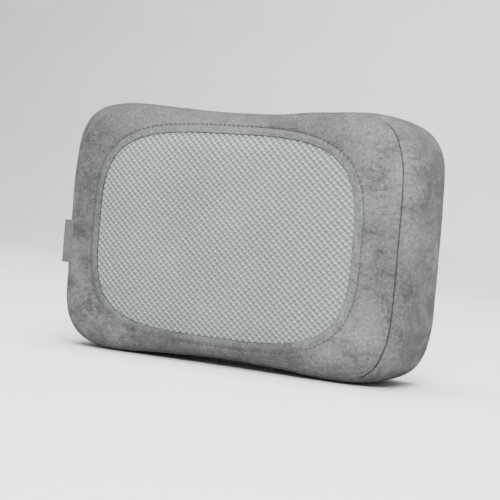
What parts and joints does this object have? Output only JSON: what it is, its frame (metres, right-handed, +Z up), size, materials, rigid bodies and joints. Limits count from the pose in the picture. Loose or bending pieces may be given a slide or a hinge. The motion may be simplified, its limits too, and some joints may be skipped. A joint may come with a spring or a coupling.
{
  "type": "shiatsu massage pillow",
  "caption": "Cushion-shaped shiatsu neck massager: velour cover with mesh window over geared rotating massage heads, side controls, rear zip.",
  "frame": {"origin": "centre of the flat pressed area of the rear cover", "axes": "+X to the right as seen from the front, along the pillow's length; +Y out of the rear face; +Z up; the mesh window faces -Y"},
  "size_m": [0.4024, 0.1238, 0.2626],
  "materials": {
    "foam": "open-cell foam, matt",
    "velour": "short-nap velour, matt",
    "spacer_mesh": "knitted spacer mesh with a slight sheen",
    "lining": "woven nylon lining",
    "heater_felt": "felt with sewn-in heating wire",
    "woven_label": "folded woven tape",
    "zip_tape": "woven tape with nylon coil",
    "zip_metal": "satin plated zinc",
    "control_plastic": "fine moulded texture",
    "button_rubber": "soft matt",
    "steel": "bright plated",
    "circuit_board": "solder-resist green",
    "housing_plastic": "fine moulded texture",
    "black_plastic": "smooth",
    "worm_brass": "cut and oiled",
    "gear_plastic": "acetal, slightly waxy",
    "bush_bronze": "sintered",
    "carrier_plastic": "glass-filled nylon",
    "node_plastic": "smooth, lit from behind when the heat is on",
    "cell_wrap": "shrink wrap",
    "cable_rubber": "soft sleeving"
  },
  "bodies": {
    "pillow": {"foam_core": "foam", "front_cover": "velour", "mesh_panel": "spacer_mesh", "side_band": "velour", "rear_cover": "velour", "inner_liner": "lining", "heater_pad": "heater_felt", "side_tab": "woven_label", "zip_tape": "zip_tape", "control_bezel": "control_plastic", "charge_socket": "steel", "control_board": "circuit_board", "housing_rear": "housing_plastic", "housing_front": "housing_plastic", "housing_screw_1": "steel", "housing_screw_2": "steel", "housing_screw_3": "steel", "housing_screw_4": "steel", "motor_can": "steel", "motor_end_cap": "black_plastic", "shaft_bearing": "gear_plastic", "wheel_pin_left": "steel", "wheel_pin_right": "steel", "shaft_bush_left": "bush_bronze", "shaft_bush_right": "bush_bronze", "battery_cell_left": "cell_wrap", "battery_cell_right": "cell_wrap", "circuit_board": "circuit_board", "board_chip": "black_plastic", "board_connector": "gear_plastic", "motor_cable": "cable_rubber", "battery_cable": "cable_rubber", "battery_link": "cable_rubber", "control_cable": "cable_rubber", "heater_cable": "cable_rubber"},
    "motor_rotor": {"motor_shaft": "steel", "worm": "worm_brass"},
    "wheel_left": {"worm_wheel_left": "gear_plastic"},
    "wheel_right": {"worm_wheel_right": "gear_plastic"},
    "head_left": {"output_gear_left": "gear_plastic", "output_shaft_left": "steel", "node_carrier_left": "carrier_plastic", "carrier_screw_left": "steel"},
    "head_right": {"output_gear_right": "gear_plastic", "output_shaft_right": "steel", "node_carrier_right": "carrier_plastic", "carrier_screw_right": "steel"},
    "node_left_top": {"massage_node_left_top": "node_plastic"},
    "node_left_bottom": {"massage_node_left_bottom": "node_plastic"},
    "node_right_top": {"massage_node_right_top": "node_plastic"},
    "node_right_bottom": {"massage_node_right_bottom": "node_plastic"},
    "power_button": {"power_button": "button_rubber"},
    "heat_button": {"heat_button": "button_rubber"},
    "zip_slider": {"zip_slider": "zip_metal"},
    "zip_pull": {"zip_pull": "zip_metal"}
  },
  "joints": [
    {"name": "left_head_spin", "type": "hinge", "parent": "pillow", "child": "head_left", "pos_m": [-0.0655, -0.0495, 0], "axis": [0, 1, 0], "continuous": true},
    {"name": "right_head_spin", "type": "hinge", "parent": "pillow", "child": "head_right", "pos_m": [0.0655, -0.0495, 0], "axis": [0, 1, 0], "continuous": true},
    {"name": "left_wheel_spin", "type": "hinge", "parent": "pillow", "child": "wheel_left", "pos_m": [-0.025, -0.0425, 0], "axis": [0, 1, 0], "continuous": true},
    {"name": "right_wheel_spin", "type": "hinge", "parent": "pillow", "child": "wheel_right", "pos_m": [0.025, -0.0425, 0], "axis": [0, 1, 0], "continuous": true},
    {"name": "motor_spin", "type": "hinge", "parent": "pillow", "child": "motor_rotor", "pos_m": [0, -0.036, 0], "axis": [0, 0, 1], "continuous": true},
    {"name": "left_top_node_spin", "type": "hinge", "parent": "head_left", "child": "node_left_top", "pos_m": [-0.0655, -0.0885, 0.036], "axis": [0, 1, 0], "continuous": true},
    {"name": "left_bottom_node_spin", "type": "hinge", "parent": "head_left", "child": "node_left_bottom", "pos_m": [-0.0655, -0.0885, -0.036], "axis": [0, 1, 0], "continuous": true},
    {"name": "right_top_node_spin", "type": "hinge", "parent": "head_right", "child": "node_right_top", "pos_m": [0.0655, -0.0885, 0.036], "axis": [0, 1, 0], "continuous": true},
    {"name": "right_bottom_node_spin", "type": "hinge", "parent": "head_right", "child": "node_right_bottom", "pos_m": [0.0655, -0.0885, -0.036], "axis": [0, 1, 0], "continuous": true},
    {"name": "power_press", "type": "slide", "parent": "pillow", "child": "power_button", "axis": [1, 0, 0], "range_m": [0, 0.0015], "stiffness_N_per_m": 900},
    {"name": "heat_press", "type": "slide", "parent": "pillow", "child": "heat_button", "axis": [1, 0, 0], "range_m": [0, 0.0015], "stiffness_N_per_m": 900},
    {"name": "zip_slide", "type": "slide", "parent": "pillow", "child": "zip_slider", "axis": [-1, 0, 0], "range_m": [0, 0.244]},
    {"name": "zip_pull_hinge", "type": "hinge", "parent": "zip_slider", "child": "zip_pull", "pos_m": [0.122, -0.00282, -0.10924], "axis": [0, 0.3746, 0.9272], "range_deg": [0, 170]}
  ],
  "couplings": [
    {"joint": "right_head_spin", "follows": "left_head_spin", "ratio": -1},
    {"joint": "left_wheel_spin", "follows": "left_head_spin", "ratio": -3.5},
    {"joint": "right_wheel_spin", "follows": "left_head_spin", "ratio": 3.5},
    {"joint": "motor_spin", "follows": "left_head_spin", "ratio": -84}
  ]
}
